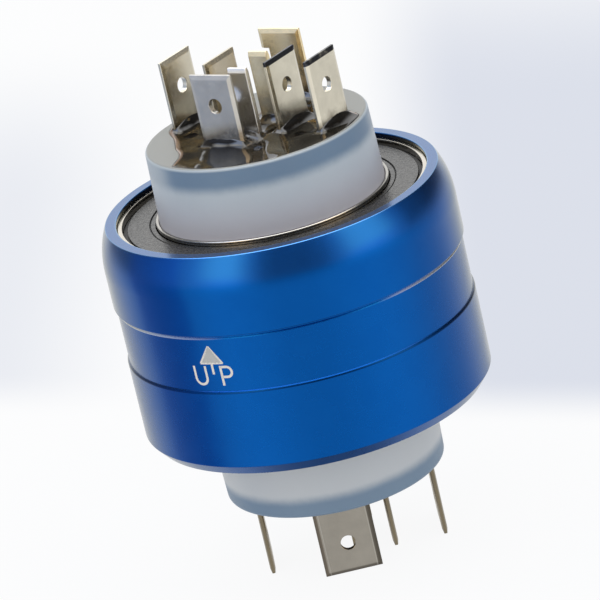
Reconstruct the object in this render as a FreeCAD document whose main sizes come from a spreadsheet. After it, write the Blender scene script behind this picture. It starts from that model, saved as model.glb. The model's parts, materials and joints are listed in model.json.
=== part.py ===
import FreeCAD, Part
import math
import os
import Sketcher

# Rotary connector with eight circuits: a turned two-piece housing carries a sealed
# stack of contact cups, and a capped rotor with eight blade terminals spins in it.
# Frame: the spin axis is Z, +Z points to the rotor's terminals, and Z = 0 is the
# plane of the lower terminals' tips. Millimetres and degrees.

doc = FreeCAD.newDocument("slip_ring")
sheet = doc.addObject("Spreadsheet::Sheet", "sizes")

LEVELS = 8

SIZES = {
    # housing, outside
    "band_radius": 19.05,            # middle band, which carries the marks
    "lower_step": 0.20,              # lower band stands this far out of the middle band
    "upper_step": 0.30,              # and the upper shell this far
    "middle_band_height": 6.30,
    "ledge_chamfer": 0.30,
    "joint_chamfer": 0.18,
    "foot_chamfer_height": 1.20,
    "foot_chamfer_width": 0.95,
    "shoulder_radius": 9.70,
    "rim_width": 1.30,
    "rim_break": 0.12,
    # housing, inside
    "housing_wall": 2.65,            # middle band to the bore
    "floor_thickness": 2.50,
    "spigot_wall": 1.55,
    "spigot_height": 2.15,
    "clamp_lip": 2.00,               # inner lip under the bearing, radially
    "clamp_lip_height": 0.85,
    "oring_section": 0.80,
    "oring_below_top": 0.70,
    # fits
    "seat_gap": 0.03,
    "end_gap": 0.05,
    # insulating caps
    "upper_cap_taper": 0.20,         # its free end is this much slimmer than its journal
    "lower_cap_inset": 4.28,         # its free end, inside the shell's bore
    "cap_draft": 0.26,
    "upper_projection": 7.40,
    "lower_projection": 8.40,
    "cap_edge_radius": 0.45,
    "cap_rim_wall": 0.45,
    "hub_flange": 0.85,
    "cap_flange_thickness": 0.60,
    "resin_depth": 2.40,
    "resin_below_edge": 0.10,
    "lower_cap_rim_wall": 0.82,
    # blade terminals
    "blade_thickness": 0.60,
    "upper_blade_width": 5.40,
    "upper_small_width": 2.40,
    "lower_blade_width": 6.30,
    "lower_small_width": 2.40,
    "upper_blade_length": 8.00,
    "lower_blade_length": 9.00,
    "tip_bevel_height": 0.50,
    "bevel_depth": 0.14,
    "side_bevel_width": 0.42,
    "blade_hole": 1.65,
    "hole_from_tip": 3.45,
    "tail_width": 1.40,
    "notch_width": 1.05,
    "notch_from_tip": 2.20,
    "upper_turn": 51.0,              # direction of the long row of upper blades
    "lower_turn": 90.0,
    # contact stack
    "insulator_floor": 0.30,
    "cup_floor": 0.25,
    "disc_thickness": 0.35,
    "disc_play": 0.20,
    "disc_overhang": 2.70,           # discs stand this far out of the rotor's insulators
    "stack_play": 0.40,
    "cup_inset": 2.20,               # cups, inside the shell's bore
    "cup_wall": 0.35,
    "disc_edge_play": 0.35,
    "pin_outset": 0.80,              # pins' circle, outside the cups
    "pin_diameter": 0.90,
    "lug_width": 1.60,
    "strap_width": 1.00,
    "strap_thickness": 0.60,
    "strap_room": 0.80,
    "plate_thickness": 3.70,
    "plate_rim": 0.60,
    "washer_thickness": 0.45,
    "washer_width": 1.40,
    "tail_clearance": 0.50,
    # upper bearing, sealed
    "bearing_inset": 2.05,           # bearing's outside, inside the middle band's
    "bearing_section": 4.65,         # radially, to the cap's journal
    "upper_bearing_width": 5.00,
    "upper_ball": 2.20,
    "upper_pitch_inset": 2.30,
    "upper_balls": 22,
    "bearing_recess": 0.50,
    "bearing_face_width": 0.50,
    "bearing_land": 0.43,
    "ring_clearance": 0.85,          # shoulder to ball circle
    "seal_seat_depth": 1.30,
    "seal_recess": 0.42,
    "seal_thickness": 0.58,
    "seal_bead_depth": 0.75,
    "seal_lip_width": 0.52,
    "seal_lip_drop": 0.06,
    "seal_groove_width": 0.14,
    "seal_groove_depth": 0.20,
    "lip_gap": 0.09,
    "race_gap": 0.04,
    "cage_gap": 0.07,
    "upper_cage_wall": 0.80,
    "upper_cage_height": 2.70,
    # lower bearing, open
    "lower_bearing_outset": 1.50,    # its outside and its bore, from the ball circle
    "stub_inset": 1.50,
    "lower_bearing_width": 3.00,
    "lower_ball": 1.60,
    "lower_pitch": 5.50,
    "lower_balls": 12,
    "lower_ring_clearance": 0.60,
    "lower_cage_wall": 0.50,
    "lower_cage_height": 2.20,
    "stub_shoulder": 0.30,
    "pocket_relief": 0.25,           # keeps the lower inner ring off the plate
}

# Upper terminals: each blade's size, how it is turned, and its centre's x and y as shares
# of the cap's radius. "row" blades lie along the row's direction, "cross" ones square to it.
UPPER_BLADES = [
    ("wide", "row", -0.5663, 0.5251),
    ("wide", "row", -0.1860, 0.1852),
    ("wide", "cross", -0.2864, -0.3210),
    ("small", "cross", -0.0420, -0.3012),
    ("small", "cross", 0.1663, 0.0444),
    ("notched", "cross", 0.3926, 0.5860),
    ("wide", "row", 0.3317, -0.1671),
    ("wide", "row", 0.6658, -0.4272),
]

# Lower terminals, in the order of their contact pins around the stack.
LOWER_BLADES = [
    ("wide", "row", 0.8375, 0.0165),
    ("small", "cross", 0.0990, 0.2970),
    ("wide", "cross", -0.0330, 0.5776),
    ("wide", "row", -0.2475, 0.0330),
    ("wide", "row", -0.7591, 0.0248),
    ("small", "cross", 0.0990, -0.0578),
    ("wide", "cross", -0.0413, -0.5776),
    ("wide", "row", 0.3795, 0.0165),
]

# Edge of the resin pool on the upper cap: direction in degrees, and reach as a share of
# the cap's radius. A reach past the cap's rim is trimmed by it.
RESIN_POOL = [
    (0, 0.741), (22, 0.691), (44, 0.807), (60, 0.840), (72, 0.576), (80, 0.379), (98, 0.412),
    (116, 0.658), (132, 0.897), (149, 0.881), (163, 0.765), (186, 0.733), (206, 0.798),
    (218, 1.004), (232, 1.086), (277, 1.119), (322, 1.086), (338, 0.979),
]

for row, (name, value) in enumerate(SIZES.items(), start=1):
    sheet.set("A%d" % row, name)
    sheet.set("B%d" % row, str(value))
    sheet.setAlias("B%d" % row, name)

places = []
for end, blades in (("upper", UPPER_BLADES), ("lower", LOWER_BLADES)):
    for number, (kind, lie, x, y) in enumerate(blades, start=1):
        places.append(("%s_blade_%d_x" % (end, number), x))
        places.append(("%s_blade_%d_y" % (end, number), y))
for number, (angle, reach) in enumerate(RESIN_POOL, start=1):
    places.append(("pool_%d_angle" % number, angle))
    places.append(("pool_%d_reach" % number, reach))
for row, (name, value) in enumerate(places, start=len(SIZES) + 2):
    sheet.set("A%d" % row, name)
    sheet.set("B%d" % row, str(value))
    sheet.setAlias("B%d" % row, name)
doc.recompute()


def val(expression):
    """Number that an expression on the sheet gives."""
    return float(sheet.evalExpression(expression))


def size(name):
    return "sizes." + name


def total(*terms):
    """Sum of expressions, as one expression."""
    return "(" + " + ".join(str(term) for term in terms) + ")"


def less(first, *others):
    return "(" + " - ".join([str(first)] + [str(other) for other in others]) + ")"


def times(*terms):
    return "(" + " * ".join(str(term) for term in terms) + ")"


# Heights and radii that follow from the sizes
half = 0.5
gap = size("seat_gap")
shell_bore = less(size("band_radius"), size("housing_wall"))
bearing_outer = less(size("band_radius"), size("bearing_inset"))
journal_radius = less(bearing_outer, size("bearing_section"))
upper_pitch = less(bearing_outer, size("upper_pitch_inset"))
cap_radius = {
    "upper": less(journal_radius, size("upper_cap_taper")),
    "lower": less(shell_bore, size("lower_cap_inset")),
}
lower_resin_radius = less(cap_radius["lower"], size("lower_cap_rim_wall"))
cup_radius = less(shell_bore, size("cup_inset"))
pin_circle = total(cup_radius, size("pin_outset"))
disc_radius = less(cup_radius, size("cup_wall"), size("disc_edge_play"))
rotor_stack_radius = less(disc_radius, size("disc_overhang"))
stator_bore = total(rotor_stack_radius, size("stack_play"))
lower_bearing_outer = total(size("lower_pitch"), size("lower_bearing_outset"))
stub_radius = less(size("lower_pitch"), size("stub_inset"))
cap_bottom = size("lower_blade_length")
housing_bottom = total(cap_bottom, size("lower_projection"))
floor_top = total(housing_bottom, size("floor_thickness"))
cap_top_face = total(floor_top, size("cap_flange_thickness"))
plate_bottom = total(cap_top_face, size("strap_room"))
stack_base = total(plate_bottom, size("plate_thickness"))
pitch = total(size("insulator_floor"), size("cup_floor"), size("disc_thickness"),
              times(2, size("disc_play")))
stack_top = total(stack_base, times(LEVELS, pitch))
lip_bottom = total(stack_top, size("washer_thickness"))
bearing_bottom = total(lip_bottom, size("clamp_lip_height"))
bearing_top = total(bearing_bottom, size("upper_bearing_width"))
rim_top = total(bearing_top, size("bearing_recess"))
cap_top = total(rim_top, size("upper_projection"))
spigot_top = less(lip_bottom, size("end_gap"))
joint_height = less(spigot_top, size("spigot_height"))
ledge_height = less(joint_height, size("middle_band_height"))
spigot_radius = total(shell_bore, size("spigot_wall"))
lower_band = total(size("band_radius"), size("lower_step"))
upper_band = total(size("band_radius"), size("upper_step"))
rim_bore = total(bearing_outer, gap)
rim_outer = total(rim_bore, size("rim_width"))
disc_bottom = total(stack_base, size("insulator_floor"), size("cup_floor"), size("disc_play"))
rotor_spacer = less(pitch, size("disc_thickness"))
hub_bottom = total(disc_bottom, times(LEVELS, pitch))
resin_floor = less(cap_top, size("resin_depth"))


def bind(item, **expressions):
    """Bind properties to the sheet; a double underscore in a name stands for a dot."""
    for name, expression in expressions.items():
        item.setExpression(name.replace("__", "."), str(expression))
    return item


def cylinder(radius, bottom, height, x="0", y="0"):
    item = doc.addObject("Part::Cylinder", "round")
    return bind(item, Radius=radius, Height=height, Placement__Base__x=x,
                Placement__Base__y=y, Placement__Base__z=bottom)


def box(length, width, bottom, height):
    """Block centred on the axis."""
    item = doc.addObject("Part::Box", "block")
    return bind(item, Length=length, Width=width, Height=height,
                Placement__Base__x=times(-half, length),
                Placement__Base__y=times(-half, width), Placement__Base__z=bottom)


def torus(pitch_radius, section_radius, height):
    item = doc.addObject("Part::Torus", "ring")
    return bind(item, Radius1=pitch_radius, Radius2=section_radius,
                Placement__Base__z=height)


def compound(items):
    item = doc.addObject("Part::Compound", "set")
    item.Links = items
    return item


def fuse(*items):
    item = doc.addObject("Part::MultiFuse", "joined")
    item.Shapes = list(items)
    item.Refine = True
    return item


def cut(base, *tools):
    item = doc.addObject("Part::Cut", "cut")
    item.Base = base
    item.Tool = tools[0] if len(tools) == 1 else compound(list(tools))
    item.Refine = True
    return item


def common(first, second):
    item = doc.addObject("Part::Common", "shared")
    item.Base = first
    item.Tool = second
    return item


def placed(item, x="0", y="0", z="0", turn="0"):
    """Move an object and turn it about the vertical."""
    item.Placement = FreeCAD.Placement(FreeCAD.Vector(val(x), val(y), val(z)),
                                       FreeCAD.Rotation(FreeCAD.Vector(0, 0, 1), 1))
    return bind(item, Placement__Base__x=x, Placement__Base__y=y, Placement__Base__z=z,
                Placement__Rotation__Angle=turn)


def outline(points):
    """Closed sketch through corners given as expressions.

    A corner is (across, up), and (across, up, radius) starts an arc of that radius
    to the next corner, bulging to the right of the way it goes."""
    sketch = doc.addObject("Sketcher::SketchObject", "outline")
    corners = [FreeCAD.Vector(val(point[0]), val(point[1]), 0) for point in points]
    count = len(points)
    for index, point in enumerate(points):
        start, end = corners[index], corners[(index + 1) % count]
        if len(point) == 2:
            sketch.addGeometry(Part.LineSegment(start, end), False)
            continue
        radius = val(point[2])
        chord = end - start
        to_right = FreeCAD.Vector(chord.y, -chord.x, 0).normalize()
        sag = math.sqrt(radius ** 2 - (chord.Length / 2) ** 2)
        top = (start + end) * half + to_right * (radius - sag)
        sketch.addGeometry(Part.Arc(start, top, end), False)
    # an arc of a circle always runs anticlockwise, which is the way the corners go
    for index in range(count):
        after = (index + 1) % count
        sketch.addConstraint(Sketcher.Constraint("Coincident", index, 2, after, 1))
    for index, point in enumerate(points):
        for kind, value in (("DistanceX", point[0]), ("DistanceY", point[1])):
            number = sketch.addConstraint(Sketcher.Constraint(kind, index, 1, val(value)))
            sketch.setExpression("Constraints[%d]" % number, str(value))
        if len(point) == 3:
            number = sketch.addConstraint(Sketcher.Constraint("Radius", index, val(point[2])))
            sketch.setExpression("Constraints[%d]" % number, str(point[2]))
    return sketch


def turned(points):
    """Solid of revolution about the axis; corners are (radius, height)."""
    sketch = outline(points)
    sketch.Placement = FreeCAD.Placement(FreeCAD.Vector(0, 0, 0),
                                         FreeCAD.Rotation(FreeCAD.Vector(1, 0, 0), 90))
    item = doc.addObject("Part::Revolution", "turned")
    item.Source = sketch
    item.Axis = FreeCAD.Vector(0, 0, 1)
    item.Angle = 360
    item.Solid = True
    return item


def extruded(points, direction, length, rotation=None):
    """Prism centred on its sketch's plane."""
    sketch = outline(points)
    if rotation:
        sketch.Placement = FreeCAD.Placement(FreeCAD.Vector(0, 0, 0), rotation)
    item = doc.addObject("Part::Extrusion", "prism")
    item.Base = sketch
    item.DirMode = "Custom"
    item.Dir = direction
    item.Solid = True
    item.Symmetric = True
    return bind(item, LengthFwd=length)


def ring(outer, inner, bottom, top):
    return turned([(inner, bottom), (outer, bottom), (outer, top), (inner, top)])


NODES = {}


def node(name, item):
    """Name a finished piece."""
    item.Label = name
    NODES[name] = item
    return item


def make_housing():
    """Two turned shells with a spigot joint, and the ring that seals it."""
    skirt_bore = total(spigot_radius, gap)
    lip_radius = less(bearing_outer, size("clamp_lip"))
    arc_drop = ("sqrt(pow(sizes.shoulder_radius; 2) - pow(sizes.shoulder_radius - (%s - %s); 2))"
                % (upper_band, rim_outer))
    edge = size("rim_break")
    chamfer = size("joint_chamfer")
    node("upper_shell", turned([
        (skirt_bore, joint_height),
        (less(upper_band, chamfer), joint_height),
        (upper_band, total(joint_height, chamfer)),
        (upper_band, less(rim_top, edge, arc_drop), size("shoulder_radius")),
        (rim_outer, less(rim_top, edge)),
        (less(rim_outer, edge), rim_top),
        (total(rim_bore, edge), rim_top),
        (rim_bore, less(rim_top, edge)),
        (rim_bore, bearing_bottom),
        (lip_radius, bearing_bottom),
        (lip_radius, lip_bottom),
        (skirt_bore, lip_bottom),
    ]))
    floor_hole = total(cap_radius["lower"], size("cap_draft"), gap)
    body = turned([
        (floor_hole, housing_bottom),
        (less(lower_band, size("foot_chamfer_width")), housing_bottom),
        (lower_band, total(housing_bottom, size("foot_chamfer_height"))),
        (lower_band, less(ledge_height, size("ledge_chamfer"))),
        (size("band_radius"), ledge_height),
        (size("band_radius"), less(joint_height, chamfer)),
        (less(size("band_radius"), chamfer), joint_height),
        (spigot_radius, joint_height),
        (spigot_radius, spigot_top),
        (shell_bore, spigot_top),
        (shell_bore, floor_top),
        (floor_hole, floor_top),
    ])
    section = size("oring_section")
    middle = less(spigot_top, size("oring_below_top"), times(half, section))
    groove_bottom = less(spigot_radius, section, times(-1, gap))
    groove = ring(total(spigot_radius, section), groove_bottom,
                  less(middle, times(half, section), gap),
                  total(middle, times(half, section), gap))
    node("lower_shell", cut(body, groove))
    ring_middle = total(groove_bottom, gap, times(half, section))
    node("shell_o_ring", torus(ring_middle, less(times(half, section), gap), middle))


def side_view(length, sunk, way):
    """Side view of a blade with its bevelled tip; way is -1 where it points down."""
    face = times(half, size("blade_thickness"))
    flat = less(face, size("bevel_depth"))
    bevel = times(way, less(length, size("tip_bevel_height")))
    tip, root = times(way, length), times(-way, sunk)
    return [
        (times(-1, face), root), (face, root), (face, bevel), (flat, tip),
        (times(-1, flat), tip), (times(-1, face), bevel),
    ]


def blade_blank(width, length, sunk, way, notched=False):
    """Flat blade from local Z = 0, with its root sunk behind it, bevelled on both faces.

    The plan is an eight-sided section carried up Z, and the side view with the bevelled
    tip is carried across X; the blade is what both share, less the hole."""
    thick = size("blade_thickness")
    flat = less(times(half, thick), size("bevel_depth"))
    face = times(half, thick)
    edge = times(half, width)
    inner = less(edge, size("side_bevel_width"))
    plan = extruded([
        (times(-1, inner), times(-1, face)), (inner, times(-1, face)),
        (edge, times(-1, flat)), (edge, flat), (inner, face),
        (times(-1, inner), face), (times(-1, edge), flat), (times(-1, edge), times(-1, flat)),
    ], FreeCAD.Vector(0, 0, 1), times(4, length))
    upright = FreeCAD.Rotation(FreeCAD.Vector(1, 1, 1), 120)
    side = extruded(side_view(length, sunk, way), FreeCAD.Vector(1, 0, 0), times(2, width),
                    upright)
    blank = common(plan, side)
    hole = doc.addObject("Part::Cylinder", "hole")
    hole.Placement = FreeCAD.Placement(FreeCAD.Vector(0, 0, 0),
                                       FreeCAD.Rotation(FreeCAD.Vector(1, 0, 0), 90))
    bind(hole, Radius=times(half, size("blade_hole")), Height=times(4, thick),
         Placement__Base__y=times(2, thick),
         Placement__Base__z=times(way, less(length, size("hole_from_tip"))))
    tools = [hole]
    if notched:
        notch = doc.addObject("Part::Box", "notch")
        bind(notch, Length=total(size("notch_width"), thick), Width=times(4, thick),
             Height=total(sunk, less(length, size("notch_from_tip"))),
             Placement__Base__x=less(times(-1, edge), thick),
             Placement__Base__y=times(-2, thick), Placement__Base__z=times(-1, sunk))
        tools.append(notch)
    return cut(blank, *tools)


def small_blade_blank(width, length, sunk, way):
    """Narrow blade: the same bevelled tip, with no hole and square sides."""
    upright = FreeCAD.Rotation(FreeCAD.Vector(1, 1, 1), 120)
    return extruded(side_view(length, sunk, way), FreeCAD.Vector(1, 0, 0), width, upright)


def blade_turn(end, lie):
    turn = size(end + "_turn")
    return turn if lie == "row" else less(turn, 90)


def spot(end, number):
    """Where a blade's centre is."""
    return tuple(times(size("%s_blade_%d_%s" % (end, number, axis)), cap_radius[end])
                 for axis in "xy")


def slots(end, blades, play, bottom, height, roots=False):
    """One straight slot for each terminal, with the same play all round.

    It is as wide as the terminal's tail, or for roots as wide as the blade."""
    widths = {
        "wide": size(end + "_blade_width"), "notched": size(end + "_blade_width"),
        "small": size(end + "_small_width"),
    }
    made = []
    for number, (kind, lie, x, y) in enumerate(blades, start=1):
        width = widths[kind] if roots else size("tail_width")
        slot = box(total(width, times(2, play)),
                   total(size("blade_thickness"), times(2, play)), "0", height)
        place_x, place_y = spot(end, number)
        made.append(placed(compound([slot]), place_x, place_y, bottom, blade_turn(end, lie)))
    return made


def make_terminals(end, blades, face, way, tail_ends):
    """Blade terminals with straight tails; way is 1 for blades that point up, else -1."""
    length = size(end + "_blade_length")
    sunk = size("resin_depth")
    blanks = {
        "wide": blade_blank(size(end + "_blade_width"), length, sunk, way),
        "small": small_blade_blank(size(end + "_small_width"), length, sunk, way),
    }
    if end == "upper":
        blanks["notched"] = blade_blank(size("upper_blade_width"), length, sunk, way, True)
    made = []
    for number, (kind, lie, x, y) in enumerate(blades, start=1):
        reach = less(face, tail_ends[number - 1]) if way > 0 else less(tail_ends[number - 1], face)
        bottom = times(-1, reach) if way > 0 else "0"
        tail = box(size("tail_width"), size("blade_thickness"), bottom, reach)
        place_x, place_y = spot(end, number)
        made.append(node("%s_terminal_%d" % (end, number), placed(
            fuse(blanks[kind], tail), place_x, place_y, face, blade_turn(end, lie))))
    return made


def level_height(level):
    """Underside of the contact disc on a level, counted from the lowest, 0."""
    return total(disc_bottom, times(level, pitch))


def resin_prism(inset, bottom, top):
    """Upright prism on the resin pool's rounded outline, drawn in by the inset."""
    corners = []
    for number in range(1, len(RESIN_POOL) + 1):
        turn = math.radians(val(size("pool_%d_angle" % number)))
        share = size("pool_%d_reach" % number)
        reach = val(less(times(share, cap_radius["upper"]), inset))
        corners.append(FreeCAD.Vector(reach * math.cos(turn), reach * math.sin(turn), 0))
    curve = Part.BSplineCurve()
    curve.interpolate(corners, PeriodicFlag=True)
    face = Part.Face(Part.Wire(curve.toShape()))
    prism = doc.addObject("Part::Feature", "pool")
    prism.Shape = face.extrude(FreeCAD.Vector(0, 0, val(less(top, bottom))))
    bind(prism, Placement__Base__z=bottom)
    inside = less(cap_radius["upper"], size("cap_rim_wall"), inset)
    return common(prism, cylinder(inside, bottom, less(top, bottom)))


def make_upper_cap(terminals):
    """Insulating cap of the rotor, its resin pool and the stack's straight slots."""
    radius, journal = cap_radius["upper"], journal_radius
    edge = size("cap_edge_radius")
    flange = total(journal, size("hub_flange"))
    body = turned([
        ("0", hub_bottom), (flange, hub_bottom), (flange, bearing_bottom),
        (journal, bearing_bottom), (journal, rim_top),
        (radius, less(cap_top, edge), edge), (less(radius, edge), cap_top), ("0", cap_top),
    ])
    fits = slots("upper", UPPER_BLADES, gap, stack_base, less(cap_top, stack_base))
    roots = slots("upper", UPPER_BLADES, gap, resin_floor, less(cap_top, resin_floor), True)
    pool = resin_prism("0", resin_floor, cap_top)
    node("upper_cap", cut(body, pool, *fits, *roots))
    filling = resin_prism(gap, resin_floor, less(cap_top, size("resin_below_edge")))
    node("upper_resin", cut(filling, *terminals))
    return fits


def make_rotor_stack(fits):
    """Eight contact discs with insulators between them, on an end stub with a journal."""
    spacer = cut(cylinder(rotor_stack_radius, total(disc_bottom, size("disc_thickness")),
                          rotor_spacer), *fits)
    wide_fits = slots("upper", UPPER_BLADES, size("tail_clearance"), stack_base,
                      less(cap_top, stack_base))
    copies = []
    for level in range(LEVELS):
        number = LEVELS - level
        plain = cylinder(disc_radius, level_height(level), size("disc_thickness"))
        passing = wide_fits[number:]
        node("contact_disc_%d" % number, cut(plain, fits[number - 1], *passing))
        copies.append(placed(compound([spacer]), z=times(level, pitch)))
    node("rotor_insulators", compound(copies))
    stub, flange_bottom = stub_radius, total(stack_base, size("disc_play"))
    shoulder = less(lower_shoulder, times(half, size("stub_shoulder")))
    node("rotor_end_stub", turned([
        ("0", total(pocket_floor, size("stub_shoulder"))),
        (stub, total(pocket_floor, size("stub_shoulder"))), (stub, lower_bearing_top),
        (shoulder, lower_bearing_top), (shoulder, flange_bottom),
        (rotor_stack_radius, flange_bottom),
        (rotor_stack_radius, disc_bottom), ("0", disc_bottom),
    ]))


def make_lower_cap(terminals):
    """Insulating cap fixed in the housing's floor, with the resin around its blades."""
    radius, edge = cap_radius["lower"], size("cap_edge_radius")
    root = total(radius, size("cap_draft"))
    flange = less(shell_bore, gap)
    body = turned([
        ("0", cap_bottom), (less(radius, edge), cap_bottom, edge),
        (radius, total(cap_bottom, edge)), (root, housing_bottom), (root, floor_top),
        (flange, floor_top), (flange, cap_top_face), ("0", cap_top_face),
    ])
    depth = size("resin_depth")
    recess = cylinder(lower_resin_radius, less(cap_bottom, edge), total(depth, edge))
    fits = slots("lower", LOWER_BLADES, gap, cap_bottom, less(cap_top_face, cap_bottom))
    node("lower_cap", cut(body, recess, *fits))
    filling = cylinder(less(lower_resin_radius, gap),
                       total(cap_bottom, size("resin_below_edge")),
                       less(depth, size("resin_below_edge")))
    node("lower_resin", cut(filling, *terminals))


def pin_holes(bottom, height):
    step = 360.0 / LEVELS
    radius = total(times(half, size("pin_diameter")), gap)
    holes = []
    for index in range(LEVELS):
        hole = cylinder(radius, bottom, height, x=pin_circle)
        holes.append(placed(compound([hole]), turn=step * index))
    return holes


def make_stator_stack():
    """Terminal plate, then eight stepped insulators, each holding one contact cup."""
    outer = less(shell_bore, gap)
    pocket = total(lower_bearing_outer, gap)
    rim = less(outer, size("plate_rim"))
    relief = total(size("lower_pitch"), size("lower_ring_clearance"))
    relief_floor = less(pocket_floor, size("pocket_relief"))
    plate = turned([
        ("0", plate_bottom), (rim, plate_bottom), (rim, cap_top_face), (outer, cap_top_face),
        (outer, stack_base), (pocket, stack_base), (pocket, pocket_floor),
        (relief, pocket_floor), (relief, relief_floor), ("0", relief_floor),
    ])
    node("terminal_plate", cut(plate, *pin_holes(cap_top_face, less(stack_base, cap_top_face))))

    step = 360.0 / LEVELS
    seat = total(stack_base, size("insulator_floor"))
    section = turned([
        (stator_bore, stack_base), (outer, stack_base), (outer, total(stack_base, pitch)),
        (total(cup_radius, gap), total(stack_base, pitch)),
        (total(cup_radius, gap), seat), (stator_bore, seat),
    ])
    lug_end = total(pin_circle, times(half, size("lug_width")))
    lug_start = less(cup_radius, size("cup_wall"))
    pocket_block = doc.addObject("Part::Box", "lug_pocket")
    pocket_width = total(size("lug_width"), times(2, gap))
    bind(pocket_block, Length=total(less(lug_end, lug_start), gap), Width=pocket_width,
         Height=pitch, Placement__Base__x=lug_start,
         Placement__Base__y=times(-half, pocket_width), Placement__Base__z=seat)
    insulator = cut(section, pocket_block, *pin_holes(stack_base, pitch))
    copies = [placed(compound([insulator]), z=times(level, pitch), turn=step * level)
              for level in range(LEVELS)]
    node("stator_insulators", compound(copies))

    cup_inner = total(stator_bore, times(half, size("stack_play")))
    wall_top = less(total(stack_base, pitch), size("end_gap"))
    cup = turned([
        (cup_inner, seat), (cup_radius, seat), (cup_radius, wall_top),
        (lug_start, wall_top), (lug_start, total(seat, size("cup_floor"))),
        (cup_inner, total(seat, size("cup_floor"))),
    ])
    lug = doc.addObject("Part::Box", "lug")
    bind(lug, Length=less(lug_end, lug_start), Width=size("lug_width"),
         Height=size("cup_floor"), Placement__Base__x=lug_start,
         Placement__Base__y=times(-half, size("lug_width")), Placement__Base__z=seat)
    blank = fuse(cup, lug)
    for level in range(LEVELS):
        number = level + 1
        rise = times(level, pitch)
        pin = cylinder(times(half, size("pin_diameter")), cap_top_face,
                       less(total(seat, rise, size("cup_floor")), cap_top_face),
                       x=pin_circle)
        raised = placed(compound([blank]), z=rise)
        turn = step * level
        upper = placed(compound([fuse(raised, pin)]), turn=turn)
        place_x, place_y = spot("lower", number)
        away_x = less(times(pin_circle, "cos(%s deg)" % turn), place_x)
        away_y = less(times(pin_circle, "sin(%s deg)" % turn), place_y)
        half_strap = times(-half, size("strap_width"))
        strap = doc.addObject("Part::Box", "strap")
        bind(strap, Length=total("hypot(%s; %s)" % (away_x, away_y), size("strap_width")),
             Width=size("strap_width"), Height=size("strap_thickness"),
             Placement__Base__x=half_strap, Placement__Base__y=half_strap)
        strap = placed(compound([strap]), place_x, place_y, cap_top_face,
                       "atan2(%s; %s)" % (away_y, away_x))
        node("contact_cup_%d" % number, fuse(upper, strap))
    node("clamp_washer", ring(outer, less(outer, size("washer_width")), stack_top, lip_bottom))


def around(item, count):
    """Copies of an item evenly spaced about the axis, half a step off the seams."""
    step = 360.0 / count
    return [placed(compound([item]), turn=step * (index + half)) for index in range(count)]


def make_bearing(name, circle, bore, outer, bottom, width, inner_steps, outer_steps):
    """Rings with raceways, balls and cage; the steps are the rings' inner faces."""
    ball = size(name + "_ball")
    centre = total(bottom, times(half, width))
    top = total(bottom, width)
    race = torus(circle, total(times(half, ball), size("race_gap")), centre)
    node(name + "_bearing_inner_ring", cut(turned(
        [(bore, top), (bore, bottom)] + inner_steps), race))
    node(name + "_bearing_outer_ring", cut(turned(
        [(outer, bottom), (outer, top)] + outer_steps), race))
    count = int(val(size(name + "_balls")))
    sphere = doc.addObject("Part::Sphere", "ball")
    bind(sphere, Radius=times(half, ball), Placement__Base__x=circle,
         Placement__Base__z=centre)
    node(name + "_bearing_balls", compound(around(sphere, count)))
    wall = times(half, size(name + "_cage_wall"))
    rise = times(half, size(name + "_cage_height"))
    plain = ring(total(circle, wall), less(circle, wall), less(centre, rise), total(centre, rise))
    pocket = doc.addObject("Part::Cylinder", "pocket")
    pocket.Placement = FreeCAD.Placement(FreeCAD.Vector(0, 0, 0),
                                         FreeCAD.Rotation(FreeCAD.Vector(0, 1, 0), 90))
    bind(pocket, Radius=total(times(half, ball), size("cage_gap")), Height=times(2, ball),
         Placement__Base__x=less(circle, ball), Placement__Base__z=centre)
    node(name + "_bearing_cage", cut(plain, *around(pocket, count)))


def make_upper_bearing():
    """Thin sealed bearing whose top face shows between the cap and the rim."""
    bore = total(journal_radius, gap)
    outer = bearing_outer
    width = size("upper_bearing_width")
    depth = size("seal_seat_depth")
    land = total(bore, size("bearing_land"))
    inner_shoulder = less(upper_pitch, size("ring_clearance"))
    outer_shoulder = total(upper_pitch, size("ring_clearance"))
    face_radius = less(outer, size("bearing_face_width"))
    low, high = total(bearing_bottom, depth), less(bearing_top, depth)
    make_bearing(
        "upper", upper_pitch, bore, outer, bearing_bottom, width,
        [(land, bearing_bottom), (land, low), (inner_shoulder, low), (inner_shoulder, high),
         (land, high), (land, bearing_top)],
        [(face_radius, bearing_top), (face_radius, high), (outer_shoulder, high),
         (outer_shoulder, low), (face_radius, low), (face_radius, bearing_bottom)])
    lip = total(land, size("lip_gap"))
    bead_outer = less(face_radius, gap)
    bead_inner = less(bead_outer, size("bearing_face_width"))
    groove_inner = total(lip, size("seal_lip_width"))
    groove_outer = total(groove_inner, size("seal_groove_width"))
    recess, thick = size("seal_recess"), size("seal_thickness")
    lip_depth = total(recess, size("seal_lip_drop"))
    groove_depth = total(recess, size("seal_groove_depth"))
    for name, face, way in (("top", bearing_top, -1), ("bottom", bearing_bottom, 1)):
        def at(depth_below):
            return total(face, times(way, depth_below))
        node("upper_bearing_%s_seal" % name, turned([
            (lip, at(total(recess, thick))), (outer_shoulder, at(total(recess, thick))),
            (outer_shoulder, at(less(depth, gap))), (bead_outer, at(less(depth, gap))),
            (bead_outer, at(size("seal_bead_depth"))), (bead_inner, at(size("seal_bead_depth"))),
            (bead_inner, at(recess)), (groove_outer, at(recess)),
            (groove_outer, at(groove_depth)), (groove_inner, at(groove_depth)),
            (groove_inner, at(lip_depth)), (lip, at(lip_depth)),
        ]))


def make_lower_bearing():
    bore = total(stub_radius, gap)
    outer = lower_bearing_outer
    outer_shoulder = total(size("lower_pitch"), size("lower_ring_clearance"))
    make_bearing(
        "lower", size("lower_pitch"), bore, outer, pocket_floor, size("lower_bearing_width"),
        [(lower_shoulder, pocket_floor), (lower_shoulder, lower_bearing_top)],
        [(outer_shoulder, lower_bearing_top), (outer_shoulder, pocket_floor)])


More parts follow.
